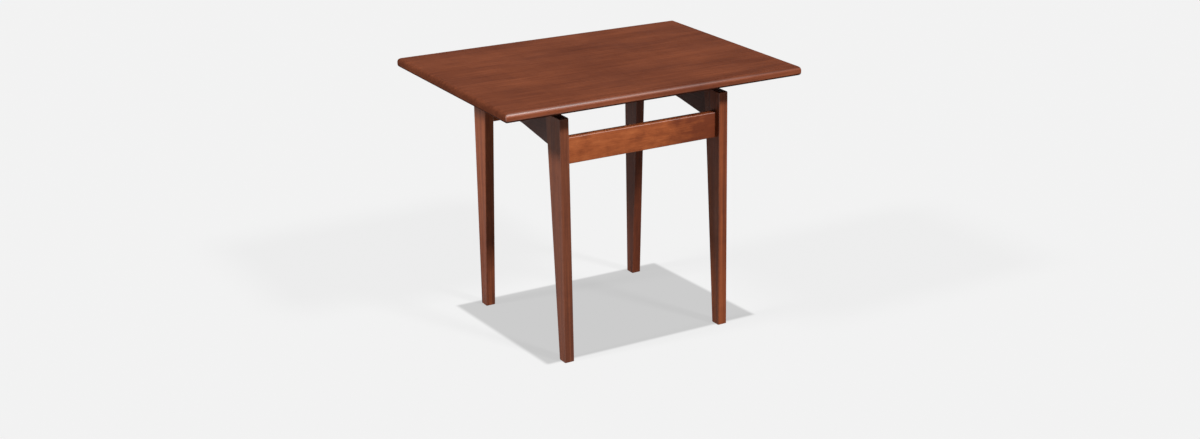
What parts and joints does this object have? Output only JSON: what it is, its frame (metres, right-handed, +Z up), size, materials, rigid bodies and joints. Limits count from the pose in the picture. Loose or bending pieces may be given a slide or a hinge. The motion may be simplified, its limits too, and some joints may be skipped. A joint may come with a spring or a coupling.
{
  "type": "side table",
  "caption": "Rectangular wooden side table: a rounded-edge slab floats above a frame of tapered legs, arched side rails and straight cross rails.",
  "frame": {"origin": "on the floor, under the middle of the top", "axes": "+X along the width and the grain of the top, to the right seen from the front; +Y from front to back; +Z up"},
  "size_m": [0.7048, 0.527, 0.5842],
  "materials": {
    "top_wood": "satin oiled",
    "leg_wood": "satin oiled",
    "side_rail_wood": "satin oiled",
    "cross_rail_wood": "satin oiled",
    "spacer_wood": "satin oiled",
    "screw_brass": "dulled"
  },
  "bodies": {
    "root": {"tabletop": "top_wood", "leg_front_left": "leg_wood", "leg_front_right": "leg_wood", "leg_back_left": "leg_wood", "leg_back_right": "leg_wood", "side_rail_left": "side_rail_wood", "side_rail_right": "side_rail_wood", "front_rail": "cross_rail_wood", "back_rail": "cross_rail_wood", "spacer_front_left": "spacer_wood", "spacer_front_right": "spacer_wood", "spacer_back_left": "spacer_wood", "spacer_back_right": "spacer_wood", "screw_front_left": "screw_brass", "screw_front_right": "screw_brass", "screw_back_left": "screw_brass", "screw_back_right": "screw_brass"}
  },
  "joints": []
}
